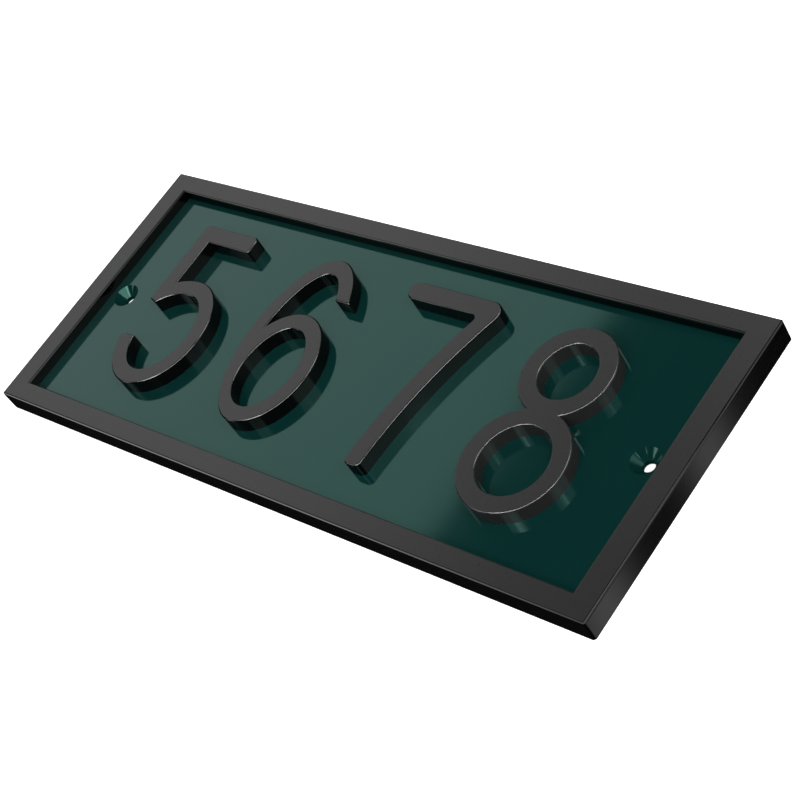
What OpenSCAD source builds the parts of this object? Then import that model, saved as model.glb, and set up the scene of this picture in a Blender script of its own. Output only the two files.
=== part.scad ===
// House number plaque: a coloured panel held in a one-piece rebated
// surround, with four raised numerals on its face. The plaque lies on
// its back: X runs along its length, Y up the wall when it hangs, and
// Z out of its face. The origin is the middle of its back.

/* [Surround] */
// Length of the plaque over the surround
plaque_length = 300; // [285:1:360]
// Height of the plaque over the surround, as it hangs
plaque_height = 120; // [112:1:160]
// Depth of the surround from its back to its front face
surround_depth = 9.5; // [8.5:0.5:14]
// Width of the surround's front face at the two ends
end_width = 10.2; // [8:0.2:12]
// Width of the surround's front face along the two long rails
rail_width = 8.6; // [7:0.2:12]
// Depth that the surround laps over each edge of the panel
panel_lap = 4; // [2:0.5:5]
// Bevel along the edges of the surround's front face
surround_bevel = 0.8; // [0.3:0.1:1.2]
// Bevel down the surround's four outer corners
corner_bevel = 0.8; // [0.3:0.1:1.5]

/* [Panel] */
// Thickness of the panel
panel_thickness = 5; // [4:0.5:6]
// Gap between the panel's edge and the surround, all round
panel_clearance = 0.3; // [0.1:0.05:0.5]

/* [Screw holes] */
// Distance from the middle of each screw hole to the surround's inner edge
hole_inset = 7.8; // [7:0.2:12]
// Diameter of the screw holes
hole_diameter = 4.5; // [3.5:0.1:5.5]
// Diameter of the countersinks at the panel's face
countersink_diameter = 11; // [8:0.2:12]
// Angle between the sides of the countersinks
countersink_angle = 90; // [80:1:100]

/* [Numerals] */
// Height of the numerals
numeral_height = 76.5; // [60:1:84]
// Thickness of the numerals above the panel
numeral_depth = 6; // [3:0.5:8]
// Distance between the middles of neighbouring numerals
numeral_pitch = 61; // [55:1:62]
// Width of the curved and upright strokes
stroke_width = 7.2; // [5:0.2:9]
// Width of the level bars of the 5 and the 7
bar_width = 7.8; // [5:0.2:9]
// Bevel along the edges of the numerals' faces
numeral_bevel = 0.6; // [0.2:0.1:0.9]
// Rounding of the numerals' outer corners
corner_radius = 2.2; // [1.2:0.2:3]
// Rounding of the lower corner of the 5's bar
edge_radius = 1; // [0.9:0.1:1.8]
// Width of the 5
five_width = 39.5; // [36:0.5:44]
// Width of the 6
six_width = 41; // [37:0.5:45]
// Width of the upright stem of the 6
six_stem_width = 6.4; // [5:0.2:8]
// Width of the 7 along the underside of its bar
seven_width = 43.5; // [38:0.5:46]
// Width of the leg of the 7, level across
leg_width = 7.8; // [6.6:0.2:10]
// Rounding of the bend where the bar of the 7 turns into its leg
bend_radius = 5; // [3:0.2:5.4]
// Width of the 8
eight_width = 41; // [37:0.5:45]
// Height that the two rounds of the 8 share at its waist
waist_overlap = 3; // [2:0.2:6]
// Distance that the upper round of the 8 stands left of the lower one
eight_lean = 2.2; // [0:0.2:3]

/* [Hidden] */

// Cuts run this far past the faces that they open
overrun = 1;
// Angle between the points of a round stretch
arc_step = 4;
// Points in a rounded corner
corner_steps = 6;
// Points along the leg of the 7
leg_steps = 20;
// Halvings of the angle in the search for the 8's waist
halvings = 30;
// Angle round the lower counter of the 8 where its triangles start, near the waist
waist_angle = 120;
$fn = 96;

opening_length = plaque_length - 2 * end_width;
opening_height = plaque_height - 2 * rail_width;
rebate_length = opening_length + 2 * panel_lap;
rebate_height = opening_height + 2 * panel_lap;
panel_length = rebate_length - 2 * panel_clearance;
panel_height = rebate_height - 2 * panel_clearance;
hole_x = opening_length / 2 - hole_inset;
countersink_depth = (countersink_diameter - hole_diameter) / 2 / tan(countersink_angle / 2);

// Places of the numerals along the row, in shares of the pitch
row_shares = [-1.495, -0.51, 0.44, 1.505];

// The 5, in shares of its own width and of the numerals' height
five_bar_share = 0.78;
five_middle_share = 0.486;
five_bowl_share = 0.664;
five_shoulder_share = 0.66;
five_foot_share = 0.49;
five_heel_share = 0.474;
five_terminal_share = 0.262;

// The 6, in shares of its own width and of the numerals' height
six_middle_share = 0.52;
six_bowl_share = 0.658;
six_bowl_left_share = 0.47;
six_waist_share = 0.535;
six_hook_share = 0.45;
six_reach_share = 0.49;
six_terminal_share = 0.775;

// The 7, in shares of its own width and of its bar
seven_foot_share = 0.64;
bend_limit_share = 0.7;

// The 8, in shares of its own width and of the numerals' height
eight_upper_share = 0.87;
eight_lower_share = 0.552;

// Points along an ellipse from one angle to another, either way round
function arc(middle, radii, from, to) =
    let (steps = max(1, ceil(abs(to - from) / arc_step)))
    [for (i = [0:steps])
        let (angle = from + (to - from) * i / steps)
        middle + [radii.x * cos(angle), radii.y * sin(angle)]];

// A list without its first point, where it follows on from another
function rest(points) = [for (i = [1:len(points) - 1]) points[i]];

// A list without its first and last points
function between(points) = [for (i = [1:len(points) - 2]) points[i]];

// Whole numbers from one to another, either way round
function count(from, to) = [for (i = [from:from < to ? 1 : -1:to]) i];

function unit(v) = v / norm(v);

// An arc between the two straight stretches that meet at a corner
function rounded(before, corner, after, radius) =
    let (
        back = unit(before - corner),
        ahead = unit(after - corner),
        half = acos(back * ahead) / 2,
        middle = corner + unit(back + ahead) * radius / sin(half),
        first = corner + back * radius / tan(half) - middle,
        last = corner + ahead * radius / tan(half) - middle,
        turn = 180 - 2 * half
    )
    [for (i = [0:corner_steps])
        let (share = i / corner_steps)
        middle + (first * sin(turn * (1 - share)) + last * sin(turn * share)) / sin(turn)];

// An anticlockwise loop moved inward, or outward by less than zero
function inset(loop, distance) =
    [for (i = [0:len(loop) - 1])
        let (
            coming = unit(loop[i] - loop[(i + len(loop) - 1) % len(loop)]),
            going = unit(loop[(i + 1) % len(loop)] - loop[i]),
            side = [-coming.y - going.y, coming.x + going.x]
        )
        loop[i] + side * distance / (1 + coming * going)];

// Triangles across a stroke between the chains of places on its right and its
// left, each over the shorter of the two ways on
function filled(points, right, left, i = 0, j = 0) =
    let (
        right_done = i == len(right) - 1,
        left_done = j == len(left) - 1,
        on_left = !left_done && (right_done ||
            norm(points[left[j + 1]] - points[right[i]]) <
            norm(points[left[j]] - points[right[i + 1]]))
    )
    right_done && left_done
        ? []
        : on_left
            ? concat([[right[i], left[j + 1], left[j]]], filled(points, right, left, i, j + 1))
            : concat([[left[j], right[i], right[i + 1]]], filled(points, right, left, i + 1, j));

// Triangles round a counter whose places run from first to last, clockwise
function filled_ring(points, outside, first, last) =
    filled(points, concat(outside, [outside[0]]), concat(count(last, first), [last]));

// The two sides of the 5, anticlockwise: over its top to its lower end, and back
function five_sides() =
    let (
        top = numeral_height,
        bar_end = five_width * five_bar_share,
        bar_under = top - bar_width,
        x = five_width * five_middle_share,
        y = top * five_bowl_share / 2,
        outer = [five_width - x, y],
        shoulder = [five_width * five_shoulder_share, y],
        inner = outer - [stroke_width, stroke_width],
        hollow = shoulder - [stroke_width, stroke_width],
        foot = [0, top * five_foot_share],
        heel_angle = 180 - asin((top * five_heel_share - y) / hollow.y),
        crotch_angle = 180 - acos((x - stroke_width) / shoulder.x),
        cut = top * five_terminal_share,
        cut_angle = asin((y - cut) / inner.y),
        tip_angle = asin((y - cut) / outer.y),
        tip = [x - outer.x * cos(tip_angle), cut],
        below_tip = tip + [outer.x * sin(tip_angle), -outer.y * cos(tip_angle)],
        lower_angle = asin((y - cut + 2 * corner_radius) / outer.y)
    )
    [
        concat(
            rounded([bar_end, bar_under], [bar_end, top], [0, top], corner_radius),
            rounded([bar_end, top], [0, top], foot, corner_radius),
            [foot],
            arc([x, y], hollow, heel_angle, 90),
            rest(arc([x, y], inner, 90, cut_angle - 180))
        ),
        concat(
            rounded([x, cut], tip, below_tip, corner_radius),
            arc([x, y], outer, 180 + lower_angle, 450),
            rest(arc([x, y], shoulder, 90, crotch_angle)),
            [[stroke_width, bar_under]],
            rounded([0, bar_under], [bar_end, bar_under], [bar_end, top], edge_radius)
        )
    ];

// The edges of the 6, anticlockwise: the outside of its hook, its bowl and the
// inside of its hook
function six_sides() =
    let (
        top = numeral_height,
        x = six_width * six_middle_share,
        y = top * six_bowl_share / 2,
        waist = top * six_waist_share,
        hook_x = six_width * six_hook_share,
        reach = six_width * six_reach_share,
        bowl_left = six_width * six_bowl_left_share,
        rise = top - waist,
        inner_rise = rise - stroke_width,
        cut = top * six_terminal_share - waist,
        crotch_angle = 180 - acos((x - six_stem_width) / bowl_left),
        crotch_y = y + y * sin(crotch_angle),
        inner_start = 180 - asin(max(0, crotch_y - waist) / inner_rise)
    )
    [
        concat(
            arc([hook_x, waist], [reach, rise], asin(cut / rise), 90),
            rest(arc([hook_x, waist], [hook_x, rise], 90, 180))
        ),
        concat(
            rest(arc([x, waist], [x, waist], 180, 270)),
            rest(arc([x, y], [six_width - x, y], 270, 450)),
            rest(arc([x, y], [bowl_left, y], 90, crotch_angle))
        ),
        concat(
            rest(arc([hook_x, waist], [hook_x - six_stem_width, inner_rise], inner_start, 90)),
            rest(arc(
                [hook_x, waist],
                [reach - stroke_width, inner_rise],
                90,
                asin(cut / inner_rise)
            ))
        )
    ];

// The counter of the 6
function six_counter() =
    let (
        x = six_width * six_middle_share,
        y = numeral_height * six_bowl_share / 2
    )
    counter([x, y], [six_width - x - stroke_width, y - stroke_width], 180);

// The two sides of the 7, anticlockwise: under its bar to its foot, and back
function seven_sides() =
    let (
        top = numeral_height,
        bar_under = top - bar_width,
        tip = bar_width / 2,
        foot_x = seven_width * seven_foot_share,
        half = leg_width / 2,
        sweep = seven_width - half - foot_x,
        leg = [for (i = [1:leg_steps])
            let (share = i / leg_steps)
            [foot_x + sweep * share * share, bar_under * share]],
        inner = [for (i = [leg_steps - 1:-1:0]) leg[i] - [half, 0]],
        outer = [for (point = leg) point + [half, 0]],
        bend = outer[leg_steps - 1] + [2 * sweep, bar_under] * bar_width / bar_under
    )
    [
        concat(
            rest(arc([tip, top - tip], [tip, tip], 180, 270)),
            inner,
            rounded(inner[leg_steps - 1], [foot_x - half, 0], [foot_x + half, 0], corner_radius)
        ),
        concat(
            rounded([foot_x - half, 0], [foot_x + half, 0], outer[0], corner_radius),
            outer,
            rounded(
                outer[leg_steps - 1],
                bend,
                [0, top],
                min(bend_radius, bar_width * bend_limit_share)
            ),
            arc([tip, top - tip], [tip, tip], 90, 180)
        )
    ];

// A point on an ellipse
function on_ellipse(middle, radii, angle) = middle + [radii.x * cos(angle), radii.y * sin(angle)];

// A point's distance from the middle of an ellipse, in shares of its radii
function reach_in(middle, radii, point) =
    norm([(point.x - middle.x) / radii.x, (point.y - middle.y) / radii.y]);

// The angle of a point on an ellipse
function angle_on(middle, radii, point) =
    atan2((point.y - middle.y) / radii.y, (point.x - middle.x) / radii.x);

// The angle at which one ellipse leaves another, between one inside it and one outside
function leaving(middle, radii, other, other_radii, inside, outside, steps) =
    let (angle = (inside + outside) / 2)
    steps == 0
        ? angle
        : reach_in(other, other_radii, on_ellipse(middle, radii, angle)) < 1
            ? leaving(middle, radii, other, other_radii, angle, outside, steps - 1)
            : leaving(middle, radii, other, other_radii, inside, angle, steps - 1);

// The edges of the 8, anticlockwise: its lower round from the left of its waist to
// the right, and its upper round back
function eight_sides(low, lower, high, upper) =
    let (
        left = leaving(low, lower, high, upper, 90, 180, halvings),
        right = leaving(low, lower, high, upper, 90, 0, halvings)
    )
    [
        arc(low, lower, left, 360 + right),
        between(arc(
            high,
            upper,
            angle_on(high, upper, on_ellipse(low, lower, right)),
            360 + angle_on(high, upper, on_ellipse(low, lower, left))
        ))
    ];

// An ellipse as a clockwise loop that ends at an angle
function counter(middle, radii, angle) = rest(arc(middle, radii, angle, angle - 360));

// Number of points in the loops that come before one of them
function points_before(loops, loop) =
    loop == 0 ? 0 : points_before(loops, loop - 1) + len(loops[loop - 1]);

// A solid with bevelled upper edges, on one outline and its counters, from the
// triangles that fill its foot
module raised(loops, triangles) {
    shoulder = numeral_depth - numeral_bevel;
    total = points_before(loops, len(loops));
    polyhedron(
        points = concat(
            [for (loop = loops) for (point = loop) [point.x, point.y, 0]],
            [for (loop = loops) for (point = loop) [point.x, point.y, shoulder]],
            [for (loop = loops)
                for (point = inset(loop, numeral_bevel))
                    [point.x, point.y, numeral_depth]]
        ),
        faces = concat(
            triangles,
            [for (corners = triangles) [for (i = [2:-1:0]) corners[i] + 2 * total]],
            [for (loop = [0:len(loops) - 1])
                for (i = [0:len(loops[loop]) - 1])
                    for (level = [0, total])
                        let (
                            start = points_before(loops, loop) + level,
                            here = start + i,
                            next = start + (i + 1) % len(loops[loop])
                        )
                        [here, here + total, next + total, next]]
        )
    );
}

// A long prism along X whose upper edges lean in, or out by less than zero
module long_prism(length, width, bottom, top, bevel) {
    rotate([90, 0, 90])
        translate([0, 0, -length / 2])
            linear_extrude(length)
                polygon([
                    [-width / 2, bottom],
                    [width / 2, bottom],
                    [width / 2, top - abs(bevel)],
                    [width / 2 - bevel, top],
                    [-width / 2 + bevel, top],
                    [-width / 2, top - abs(bevel)]
                ]);
}

// A block about the origin whose four upper edges lean in, or out
module bevelled_block(length, width, bottom, top, bevel) {
    reach = 2 * (length + width);
    intersection() {
        long_prism(reach, width, bottom, top, bevel);
        rotate([0, 0, 90])
            long_prism(reach, length, bottom, top, bevel);
    }
}

module screw_hole() {
    translate([0, 0, -overrun])
        cylinder(h = panel_thickness + 2 * overrun, d = hole_diameter);
    translate([0, 0, panel_thickness - countersink_depth])
        cylinder(h = countersink_depth, d1 = hole_diameter, d2 = countersink_diameter);
}

// Stands a numeral on the panel, at its place along the row
module in_row(place, width) {
    translate([place * numeral_pitch - width / 2, -numeral_height / 2, panel_thickness])
        children();
}

// A numeral of one stroke, from its two sides
module stroke(sides) {
    outline = concat(sides[0], sides[1]);
    turn = len(sides[0]);
    raised([outline], filled(outline, count(0, turn - 1), count(len(outline) - 1, turn)));
}

module panel() {
    color("#2c5d55")
        difference() {
            translate([-panel_length / 2, -panel_height / 2, 0])
                cube([panel_length, panel_height, panel_thickness]);
            for (side = [-1, 1])
                translate([side * hole_x, 0, 0])
                    screw_hole();
        }
}

module surround() {
    x = plaque_length / 2;
    y = plaque_height / 2;
    color("#3b3b3b")
        difference() {
            intersection() {
                bevelled_block(plaque_length, plaque_height, 0, surround_depth, surround_bevel);
                linear_extrude(surround_depth)
                    polygon([
                        [-x + corner_bevel, -y],
                        [x - corner_bevel, -y],
                        [x, -y + corner_bevel],
                        [x, y - corner_bevel],
                        [x - corner_bevel, y],
                        [-x + corner_bevel, y],
                        [-x, y - corner_bevel],
                        [-x, -y + corner_bevel]
                    ]);
            }
            bevelled_block(
                opening_length,
                opening_height,
                -overrun,
                surround_depth + overrun,
                -surround_bevel - overrun
            );
            translate([-rebate_length / 2, -rebate_height / 2, -overrun])
                cube([rebate_length, rebate_height, panel_thickness + overrun]);
        }
}

module numeral_5() {
    color("#444444")
        in_row(row_shares[0], five_width)
            stroke(five_sides());
}

module numeral_6() {
    sides = six_sides();
    outline = concat(sides[0], sides[1], sides[2]);
    hole = six_counter();
    points = concat(outline, hole);
    left = len(sides[0]) - 1;
    crotch = left + len(sides[1]);
    color("#444444")
        in_row(row_shares[1], six_width)
            raised([outline, hole], concat(
                filled(points, count(0, left), count(len(outline) - 1, crotch)),
                filled_ring(points, count(left, crotch), len(outline), len(points) - 1)
            ));
}

module numeral_7() {
    color("#444444")
        in_row(row_shares[2], seven_width)
            stroke(seven_sides());
}

module numeral_8() {
    lower = [eight_width, numeral_height * eight_lower_share] / 2;
    upper = [
        eight_width * eight_upper_share,
        numeral_height + waist_overlap - 2 * lower.y
    ] / 2;
    low = lower;
    high = [lower.x - eight_lean, numeral_height - upper.y];
    edge = [stroke_width, stroke_width];
    sides = eight_sides(low, lower, high, upper);
    outline = concat(sides[0], sides[1]);
    lower_hole = counter(low, lower - edge, waist_angle);
    upper_hole = counter(high, upper - edge, waist_angle - 180);
    points = concat(outline, lower_hole, upper_hole);
    right = len(sides[0]) - 1;
    second = len(outline) + len(lower_hole);
    color("#444444")
        in_row(row_shares[3], eight_width)
            raised([outline, lower_hole, upper_hole], concat(
                filled_ring(points, count(0, right), len(outline), second - 1),
                filled_ring(
                    points,
                    concat(count(right, len(outline) - 1), [0]),
                    second,
                    len(points) - 1
                )
            ));
}

panel();
surround();
numeral_5();
numeral_6();
numeral_7();
numeral_8();
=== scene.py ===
"""House number plaque: a gloss panel in a black surround, with four raised numerals."""
import logging
import math
from dataclasses import dataclass, field
from enum import Enum
from typing import Any, Optional, Union

import bmesh
import bpy
from mathutils import Matrix, Vector


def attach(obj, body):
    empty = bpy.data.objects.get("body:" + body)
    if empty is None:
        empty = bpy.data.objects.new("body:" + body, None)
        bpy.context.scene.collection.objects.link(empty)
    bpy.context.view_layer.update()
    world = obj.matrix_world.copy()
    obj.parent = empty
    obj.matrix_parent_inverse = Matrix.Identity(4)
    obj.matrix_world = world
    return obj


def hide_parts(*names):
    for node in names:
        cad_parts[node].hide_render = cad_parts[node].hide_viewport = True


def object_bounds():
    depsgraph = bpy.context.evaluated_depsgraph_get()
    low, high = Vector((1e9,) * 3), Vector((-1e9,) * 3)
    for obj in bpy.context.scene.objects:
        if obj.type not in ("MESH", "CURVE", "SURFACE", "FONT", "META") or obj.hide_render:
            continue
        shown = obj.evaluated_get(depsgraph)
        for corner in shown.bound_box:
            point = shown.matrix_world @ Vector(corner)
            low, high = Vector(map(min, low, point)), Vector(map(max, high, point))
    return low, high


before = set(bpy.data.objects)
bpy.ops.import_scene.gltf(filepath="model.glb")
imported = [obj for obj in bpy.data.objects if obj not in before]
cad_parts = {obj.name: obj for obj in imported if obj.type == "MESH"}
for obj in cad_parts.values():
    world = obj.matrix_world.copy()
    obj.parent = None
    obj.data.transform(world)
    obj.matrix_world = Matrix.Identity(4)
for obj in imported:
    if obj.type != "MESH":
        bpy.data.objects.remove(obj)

LOG = logging.getLogger("plaque")
CAD_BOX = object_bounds()
RISE = "rise"  # the attribute that climbs from 0 at a bevel's foot to 1 on the face
SAME_POINT = 1e-6
FACING = 0.9
LEANING = 0.1

Colour = tuple[float, float, float]
Point = tuple[float, float, float]
Operand = Union["Field", float]


class Slot(Enum):
    """The record's material slots, one for each kind of piece."""

    PANEL = "panel_gloss"
    SURROUND = "surround_black"
    NUMERAL = "numeral_black"


class Field:
    """A number that varies over a surface: one output socket, with arithmetic."""

    def __init__(self, nodes: "Nodes", socket: bpy.types.NodeSocket) -> None:
        """Wraps one output socket of a node tree."""
        self.nodes = nodes
        self.socket = socket

    def _math(self, operation: str, *values: Operand) -> "Field":
        """Adds one Math node.

        Args:
            operation: The Math node's operation.
            values: Numbers or fields for its sockets, in order.

        Returns:
            The node's result.
        """
        node = self.nodes.add("ShaderNodeMath", {"operation": operation}, dict(enumerate(values)))
        return Field(self.nodes, node.outputs[0])

    def __add__(self, other: Operand) -> "Field":
        """Returns the sum."""
        return self._math("ADD", self, other)

    def __radd__(self, other: float) -> "Field":
        """Returns the sum."""
        return self._math("ADD", other, self)

    def __sub__(self, other: Operand) -> "Field":
        """Returns the difference."""
        return self._math("SUBTRACT", self, other)

    def __rsub__(self, other: float) -> "Field":
        """Returns the difference."""
        return self._math("SUBTRACT", other, self)

    def __mul__(self, other: Operand) -> "Field":
        """Returns the product."""
        return self._math("MULTIPLY", self, other)

    def __rmul__(self, other: float) -> "Field":
        """Returns the product."""
        return self._math("MULTIPLY", other, self)

    def __abs__(self) -> "Field":
        """Returns the size without its sign."""
        return self._math("ABSOLUTE", self)

    def around(self, over: "Field") -> "Field":
        """Returns the angle, in radians, of this rise over another."""
        return self._math("ARCTAN2", self, over)

    def ramp(self, low: float, high: float) -> "Field":
        """Rises smoothly from 0 at low to 1 at high, or falls where low is above high.

        Args:
            low: Value at which the result is 0.
            high: Value at which the result is 1.

        Returns:
            The smooth step.
        """
        start, end = min(low, high), max(low, high)
        node = self.nodes.add(
            "ShaderNodeMapRange",
            {"interpolation_type": "SMOOTHSTEP"},
            {"Value": self, "From Min": start, "From Max": end},
        )
        rise = Field(self.nodes, node.outputs["Result"])
        return rise if low < high else 1.0 - rise


class Nodes:
    """A node tree that is built up from nothing."""

    def __init__(self, tree: bpy.types.NodeTree) -> None:
        """Empties a tree, to build it anew."""
        self.tree = tree
        self.tree.nodes.clear()

    def feed(self, socket: bpy.types.NodeSocket, value: Any) -> None:
        """Sets or links one input.

        Args:
            socket: The input socket.
            value: A number, a colour, a setting, a field or an output socket.
        """
        if isinstance(value, Field):
            self.tree.links.new(value.socket, socket)
        elif isinstance(value, bpy.types.NodeSocket):
            self.tree.links.new(value, socket)
        elif socket.type == "RGBA":
            socket.default_value = (*value, 1.0)
        else:
            socket.default_value = value

    def add(self, kind: str, settings: Optional[dict[str, Any]] = None,
            inputs: Optional[dict[Any, Any]] = None) -> bpy.types.Node:
        """Adds a node of any kind.

        Args:
            kind: The node's type.
            settings: Its settings, which are set before its sockets.
            inputs: Values or links, by socket name or place.

        Returns:
            The new node.
        """
        node = self.tree.nodes.new(kind)
        for name, setting in (settings or {}).items():
            setattr(node, name, setting)
        for key, value in (inputs or {}).items():
            self.feed(node.inputs[key], value)
        return node

    def axis(self, vector: bpy.types.NodeSocket, letter: str) -> Field:
        """Returns one component of a vector."""
        return Field(self, self.add("ShaderNodeSeparateXYZ", {}, {0: vector}).outputs[letter])

    def mix(self, low: Any, high: Any, share: Operand) -> bpy.types.NodeSocket:
        """Lays one colour over another.

        Args:
            low: The colour, or colour socket, underneath.
            high: The colour, or colour socket, on top.
            share: How much of the upper one shows.

        Returns:
            The mixed colour's socket.
        """
        node = self.add("ShaderNodeMix", {"data_type": "RGBA"}, {0: share, 6: low, 7: high})
        return node.outputs[2]


class Finish(Nodes):
    """One material on the main shader."""

    def __init__(self, name: str) -> None:
        """Starts a material with its output and shader.

        Args:
            name: The material's name.
        """
        self.material = bpy.data.materials.new(name)
        self.material.use_nodes = True
        super().__init__(self.material.node_tree)
        self.shader = self.add("ShaderNodeBsdfPrincipled")
        self.add("ShaderNodeOutputMaterial", {}, {"Surface": self.shader.outputs[0]})

    def attribute(self, name: str) -> Field:
        """Returns one of the mesh's own attributes."""
        node = self.add("ShaderNodeAttribute", {"attribute_name": name})
        return Field(self, node.outputs["Fac"])

    def noise(self, scale: float, detail: float = 2.0) -> Field:
        """Makes noise over the object.

        Args:
            scale: Waves to the metre.
            detail: Octaves of finer noise.

        Returns:
            The noise, from 0 to 1.
        """
        place = self.add("ShaderNodeTexCoord").outputs["Object"]
        node = self.add(
            "ShaderNodeTexNoise", {}, {"Vector": place, "Scale": scale, "Detail": detail}
        )
        return Field(self, node.outputs["Fac"])

    def wear(self, **inputs: Any) -> None:
        """Sets the shader's sockets, by name with _ for a space."""
        for name, value in inputs.items():
            self.feed(self.shader.inputs[name.replace("_", " ")], value)

    def bump(self, height: Field, distance: float) -> None:
        """Raises the surface by a field from 0 to 1, to a height in metres."""
        node = self.add("ShaderNodeBump", {}, {"Height": height, "Distance": distance})
        self.wear(Normal=node.outputs[0])


@dataclass(frozen=True)
class GlossSheet:
    """The panel's mirror-gloss dark green sheet."""

    name: str = "panel_green_gloss"
    deep: Colour = (0.0024, 0.0268, 0.0246)
    clear: Colour = (0.0032, 0.0307, 0.0275)
    sheen: Colour = (0.38, 0.90, 0.75)
    index: float = 1.5
    roughness: float = 0.07
    haze: float = 0.02
    haze_waves: float = 260.0
    cloud_waves: float = 30.0
    ripple: float = 0.000001
    ripple_waves: float = 2200.0

    def make(self) -> bpy.types.Material:
        """Mixes the sheet's clouded colour, faint haze and ripple.

        Returns:
            The finish as a material.
        """
        finish = Finish(self.name)
        cloud = finish.noise(self.cloud_waves, 3.0)
        finish.wear(
            Base_Color=finish.mix(self.deep, self.clear, cloud),
            Roughness=self.roughness + self.haze * finish.noise(self.haze_waves),
            IOR=self.index,
            Specular_Tint=self.sheen,
        )
        finish.bump(finish.noise(self.ripple_waves, 1.0), self.ripple)
        return finish.material


@dataclass(frozen=True)
class BlackPaint:
    """Black paint, rubbed satin on the faces and gloss down the walls."""

    name: str
    face: Colour = (0.021, 0.021, 0.021)
    wall: Colour = (0.001, 0.001, 0.001)
    index: float = 1.45
    face_roughness: float = 0.25
    wall_roughness: float = 0.09
    rubbed_from: float = 0.63
    rubbed_to: float = 0.83
    cloud: float = 0.2
    cloud_waves: float = 25.0
    grain_haze: float = 0.08
    grain_height: float = 0.000007
    grain_waves: float = 1500.0

    def make(self) -> bpy.types.Material:
        """Lays the satin over the gloss, from part of the way up the bevels.

        Returns:
            The finish as a material.
        """
        finish = Finish(self.name)
        face = finish.attribute(RISE).ramp(self.rubbed_from, self.rubbed_to)
        cover = 1.0 + self.cloud * (finish.noise(self.cloud_waves, 3.0) - 0.5)
        grain = finish.noise(self.grain_waves, 3.0)
        satin = self.grain_haze * grain + (self.face_roughness - self.wall_roughness)
        finish.wear(
            Base_Color=finish.mix(self.wall, self.face, face * cover),
            Roughness=self.wall_roughness + face * satin,
            IOR=self.index,
        )
        finish.bump(grain * face, self.grain_height)
        return finish.material


@dataclass(frozen=True)
class Paper:
    """The seamless white sheet that the plaque lies on."""

    name: str = "studio_paper"
    white: Colour = (0.9, 0.9, 0.9)
    fleck: Colour = (0.88, 0.88, 0.88)
    fleck_waves: float = 400.0
    roughness: float = 0.9
    glow: float = 1.0

    def make(self) -> bpy.types.Material:
        """Makes the paper glow a little, so that no shadow shows on it.

        Returns:
            The finish as a material.
        """
        finish = Finish(self.name)
        finish.wear(
            Base_Color=finish.mix(self.white, self.fleck, finish.noise(self.fleck_waves, 3.0)),
            Roughness=self.roughness,
            Emission_Color=(1.0, 1.0, 1.0),
            Emission_Strength=self.glow,
        )
        return finish.material


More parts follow.
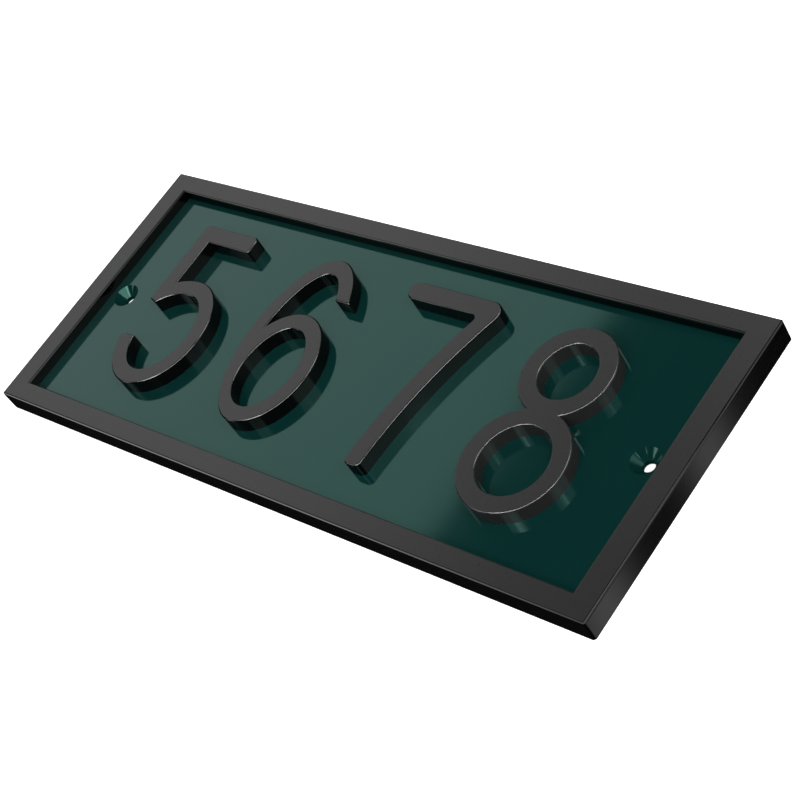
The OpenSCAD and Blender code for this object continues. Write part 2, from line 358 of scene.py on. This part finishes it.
@dataclass
class ShapedPiece:
    """A piece of the plaque, shown with its curves shaded smooth."""

    node: str
    slot: Slot
    crease: float = 30.0
    flatness: float = 0.2
    round_bevels: bool = True
    setback: float = 0.0
    inner_corners: bool = False
    corner_turn: float = 60.0
    bevel_reach: float = 0.0012

    def soften(self, shape: bmesh.types.BMesh) -> None:
        """Rounds the sharp upright corners, outer or inner ones, from wall to face.

        Args:
            shape: The piece's mesh, with a bevel round its face.
        """
        sharp = math.radians(self.corner_turn)
        corners = []
        for edge in shape.edges:
            low, high = (vertex.co for vertex in edge.verts)
            upright = (low.xy - high.xy).length < SAME_POINT
            if upright and edge.calc_face_angle(0.0) > sharp:
                if (edge.calc_face_angle_signed(0.0) < 0.0) == self.inner_corners:
                    corners.append(low.xy.copy())
        near = {
            vertex for vertex in shape.verts
            if any((vertex.co.xy - corner).length < self.bevel_reach for corner in corners)
        }
        bmesh.ops.bevel(
            shape, geom=[edge for edge in shape.edges if near.issuperset(edge.verts)],
            offset=self.setback, offset_type="OFFSET", segments=6, profile=0.5,
            affect="EDGES", clamp_overlap=True, material=-1,
        )
        LOG.info("rounded %d corners of %s", len(corners), self.node)

    def round_off(self, mesh: bpy.types.Mesh) -> None:
        """Shades each bevel as a round that runs from the wall below it to the face above.

        Args:
            mesh: The piece's mesh, whose faces are level, upright or bevels.
        """
        faces_at: list[list[bpy.types.MeshPolygon]] = [[] for _ in mesh.vertices]
        for face in mesh.polygons:
            for vertex in face.vertices:
                faces_at[vertex].append(face)
        on_face = [any(face.normal.z > FACING for face in near) for near in faces_at]
        turn = math.cos(math.radians(self.crease))
        shades: list[Vector] = [Vector()] * len(mesh.loops)
        for face in mesh.polygons:
            side = face.normal.xy.normalized()
            for corner in face.loop_indices:
                vertex = mesh.loops[corner].vertex_index
                if abs(face.normal.z) > FACING:
                    shades[corner] = face.normal.copy()
                elif on_face[vertex] and face.normal.z > LEANING:
                    shades[corner] = Vector((0.0, 0.0, 1.0))
                else:
                    walls = [
                        other.normal for other in faces_at[vertex]
                        if abs(other.normal.z) < LEANING and other.normal.xy.dot(side) > turn
                    ]
                    shades[corner] = sum(walls, Vector()).normalized()
        mesh.normals_split_custom_set(shades)
        rise = mesh.attributes.new(RISE, "FLOAT", "POINT")
        for value, reached in zip(rise.data, on_face):
            value.value = float(reached)

    def build(self, material: bpy.types.Material) -> bpy.types.Object:
        """Makes the piece over its solid, dresses it and fixes it to the plaque.

        Args:
            material: The piece's finish.

        Returns:
            The piece.
        """
        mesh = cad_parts[self.node].data.copy()
        mesh.name = f"{self.node}_shown"
        shape = bmesh.new()
        shape.from_mesh(mesh)
        bmesh.ops.remove_doubles(shape, verts=shape.verts, dist=SAME_POINT)
        bmesh.ops.dissolve_limit(
            shape, angle_limit=math.radians(self.flatness), verts=shape.verts, edges=shape.edges
        )
        if self.setback:
            self.soften(shape)
        for face in shape.faces:
            face.smooth = True
            face.material_index = 0
        for edge in shape.edges:
            edge.smooth = edge.calc_face_angle(0.0) < math.radians(self.crease)
        shape.to_mesh(mesh)
        shape.free()
        if self.round_bevels:
            self.round_off(mesh)
        mesh.materials.clear()
        mesh.materials.append(material)
        piece = bpy.data.objects.new(f"{self.node}_shown", mesh)
        bpy.context.scene.collection.objects.link(piece)
        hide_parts(self.node)
        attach(piece, "root")
        LOG.info("built %s, %d faces", self.node, len(mesh.polygons))
        return piece


@dataclass
class Panel:
    """The sheet that the numerals stand on."""

    sheet: ShapedPiece = field(
        default_factory=lambda: ShapedPiece("panel", Slot.PANEL, round_bevels=False)
    )
    finish: GlossSheet = GlossSheet()

    def build(self) -> bpy.types.Object:
        """Builds the panel and returns it."""
        return self.sheet.build(self.finish.make())


@dataclass
class Surround:
    """The one-piece frame round the panel."""

    block: ShapedPiece = field(default_factory=lambda: ShapedPiece("surround", Slot.SURROUND))
    finish: BlackPaint = BlackPaint("surround_black")

    def build(self) -> bpy.types.Object:
        """Builds the surround and returns it."""
        return self.block.build(self.finish.make())


@dataclass
class NumeralRow:
    """The four raised numerals; the last one's walls are painted lighter, as painted light."""

    glossy: tuple[ShapedPiece, ...] = field(
        default_factory=lambda: (
            ShapedPiece("numeral_5", Slot.NUMERAL),
            ShapedPiece("numeral_6", Slot.NUMERAL, setback=0.0009),
            ShapedPiece("numeral_7", Slot.NUMERAL, setback=0.0022, inner_corners=True),
        )
    )
    last: ShapedPiece = field(default_factory=lambda: ShapedPiece("numeral_8", Slot.NUMERAL))
    gloss: BlackPaint = BlackPaint(
        "numeral_black", face=(0.0115, 0.0115, 0.0115), wall=(0.003, 0.003, 0.003)
    )
    # The last numeral's paint: the same black paint, with its walls painted lighter as painted
    # light falling on them.
    satin: BlackPaint = BlackPaint(
        "numeral_black_painted_lit_walls", face=(0.0115, 0.0115, 0.0115), wall=(0.032, 0.031, 0.031)
    )

    def build(self) -> list[bpy.types.Object]:
        """Builds the numerals, each in its paint.

        Returns:
            The numerals, from left to right.
        """
        gloss, satin = self.gloss.make(), self.satin.make()
        # The last numeral takes the paint whose walls carry painted light.
        return [*(piece.build(gloss) for piece in self.glossy), self.last.build(satin)]


@dataclass(frozen=True)
class SoftBox:
    """A rectangular studio light that looks at the plaque's middle, or straight down."""

    name: str
    place: Point
    size: tuple[float, float]
    radiance: float
    level: bool = False
    turn: float = 0.0
    shine_only: bool = False

    def build(self, glossy: bpy.types.Collection) -> bpy.types.Object:
        """Makes the light.

        Args:
            glossy: The pieces on which a light that is for shine only plays.

        Returns:
            The light.
        """
        data = bpy.data.lights.new(self.name, "AREA")
        data.shape = "RECTANGLE"
        data.size, data.size_y = self.size
        data.energy = self.radiance * math.pi * self.size[0] * self.size[1]
        light = bpy.data.objects.new(self.name, data)
        if self.shine_only:
            light.visible_diffuse = False
            light.light_linking.receiver_collection = glossy
        bpy.context.scene.collection.objects.link(light)
        aim = Matrix.Identity(4)
        if not self.level:
            aim = (-Vector(self.place)).to_track_quat("-Z", "Y").to_matrix().to_4x4()
        turn = Matrix.Rotation(math.radians(self.turn), 4, "Z")
        light.matrix_world = Matrix.Translation(self.place) @ aim @ turn
        return light


@dataclass(frozen=True)
class Glow:
    """A soft upright band of light in the sky, by compass and height in degrees."""

    compass: float
    half_width: float
    low: float
    high: float
    radiance: float
    softness: float = 0.8
    end: float = 0.04

    def over(self, compass: Field, height: Field) -> Field:
        """Lays the band over the sky.

        Args:
            compass: Each direction's compass angle, in radians.
            height: The sine of each direction's height.

        Returns:
            The band's light.
        """
        half = math.radians(self.half_width)
        soft = half * self.softness
        band = abs(compass - math.radians(self.compass)).ramp(half + soft, half - soft)
        low, high = (math.sin(math.radians(angle)) for angle in (self.low, self.high))
        above = height.ramp(low - self.end, low + self.end)
        below = height.ramp(high + self.end, high - self.end)
        return self.radiance * (band * (above * below))


@dataclass
class Sky:
    """The studio's surroundings, dark but for soft bands that the gloss walls mirror."""

    base: float = 0.01
    glows: tuple[Glow, ...] = (
        Glow(27.9, 1.3, -60.0, -30.0, 1.08),
        Glow(35.4, 0.9, -60.0, -30.0, 1.08),
        Glow(-137.0, 10.0, -22.0, 38.0, 2.8),
        Glow(30.0, 22.0, -27.0, 40.0, 1.3),
        Glow(158.0, 22.0, -30.0, 22.0, 1.3),
    )

    def build(self) -> bpy.types.World:
        """Makes the surroundings, white where the camera looks straight at them.

        Returns:
            The scene's world.
        """
        world = bpy.data.worlds.new("studio_sky")
        world.use_nodes = True
        bpy.context.scene.world = world
        nodes = Nodes(world.node_tree)
        direction = nodes.add("ShaderNodeTexCoord").outputs["Generated"]
        height = nodes.axis(direction, "Z")
        compass = nodes.axis(direction, "Y").around(nodes.axis(direction, "X"))
        light: Operand = self.base
        for glow in self.glows:
            light = light + glow.over(compass, height)
        straight = Field(nodes, nodes.add("ShaderNodeLightPath").outputs["Is Camera Ray"])
        light = light * (1.0 - straight) + straight
        background = nodes.add(
            "ShaderNodeBackground", {}, {"Color": (1.0, 1.0, 1.0), "Strength": light}
        )
        nodes.add("ShaderNodeOutputWorld", {}, {"Surface": background.outputs[0]})
        return world


@dataclass
class Studio:
    """The white floor, the lights and the surroundings."""

    floor_width: float = 8.0
    floor_drop: float = 0.0001
    floor_lap: float = 0.002
    paper: Paper = Paper()
    sky: Sky = field(default_factory=Sky)
    lights: tuple[SoftBox, ...] = (
        SoftBox("far_box", (-1.055, 0.43, 0.8), (0.87, 1.0), 1.22, level=True, turn=-4.9),
        SoftBox("crown_box", (0.461, -0.323, 1.06), (1.5, 0.5), 4.0),
        SoftBox("shine_box", (0.465, -0.326, 1.07), (1.5, 0.4), 16.0, shine_only=True),
        SoftBox("front_box", (0.12, -0.95, 1.0), (0.5, 0.34), 4.5),
        SoftBox("right_box", (0.93, 0.2, 1.0), (0.65, 0.34), 4.5),
        SoftBox("rim_box", (-0.408, -0.454, 1.148), (0.5, 0.4), 24.0, shine_only=True),
        SoftBox("side_box", (0.106, 0.601, 1.148), (0.5, 0.4), 14.0, shine_only=True),
        SoftBox("corner_box", (-0.45, 0.76, 1.08), (0.3, 0.4), 2.1),
    )

    def lay_floor(self, sheet: bmesh.types.BMesh) -> None:
        """Lays the floor just under the plaque, open where the plaque covers it.

        Args:
            sheet: The empty mesh that takes the floor's faces.
        """
        bmesh.ops.create_grid(sheet, x_segments=1, y_segments=1, size=self.floor_width / 2)
        low, high = (Vector(corner) for corner in CAD_BOX)
        for axis in (Vector((1.0, 0.0, 0.0)), Vector((0.0, 1.0, 0.0))):
            for edge in (low + axis * self.floor_lap, high - axis * self.floor_lap):
                bmesh.ops.bisect_plane(
                    sheet, geom=[*sheet.verts, *sheet.edges, *sheet.faces],
                    dist=SAME_POINT, plane_co=edge, plane_no=axis,
                )
        middle = (low + high) / 2
        covered = min(
            sheet.faces, key=lambda face: (face.calc_center_median().xy - middle.xy).length
        )
        bmesh.ops.delete(sheet, geom=[covered], context="FACES")
        bmesh.ops.translate(sheet, verts=sheet.verts, vec=(0.0, 0.0, -self.floor_drop))

    def build(self, numerals: list[bpy.types.Object]) -> None:
        """Makes the stage.

        Args:
            numerals: The pieces whose edges the shine lights pick out.
        """
        mesh = bpy.data.meshes.new("floor")
        sheet = bmesh.new()
        self.lay_floor(sheet)
        sheet.to_mesh(mesh)
        sheet.free()
        mesh.materials.append(self.paper.make())
        floor = bpy.data.objects.new("floor", mesh)
        bpy.context.scene.collection.objects.link(floor)
        floor.visible_glossy = False
        self.sky.build()
        glossy = bpy.data.collections.new("glossy_edges")
        for piece in numerals:
            glossy.objects.link(piece)
        for light in self.lights:
            light.build(glossy)
        bpy.context.scene.view_settings.view_transform = "Standard"


@dataclass
class PhotoCamera:
    """The camera, set as the photograph was taken."""

    place: Point = (0.48448, -0.22774, 0.46246)
    aim: Point = (0.033117, -0.008657, 0.0095)
    roll: float = -36.01
    lens: float = 88.62
    sensor: float = 36.0

    def build(self) -> bpy.types.Object:
        """Makes the scene's camera.

        Returns:
            The camera.
        """
        data = bpy.data.cameras.new("camera")
        data.sensor_width = self.sensor
        data.lens = self.lens
        camera = bpy.data.objects.new("camera", data)
        bpy.context.scene.collection.objects.link(camera)
        look = Vector(self.aim) - Vector(self.place)
        turn = look.to_track_quat("-Z", "Y").to_matrix().to_4x4()
        roll = Matrix.Rotation(math.radians(self.roll), 4, "Z")
        camera.matrix_world = Matrix.Translation(self.place) @ turn @ roll
        bpy.context.scene.camera = camera
        return camera


def main() -> None:
    """Builds the camera, the plaque and the stage, in that order."""
    logging.basicConfig(level=logging.INFO, format="%(name)s: %(message)s")
    PhotoCamera().build()
    Panel().build()
    Surround().build()
    Studio().build(NumeralRow().build())


if __name__ == "__main__":
    main()
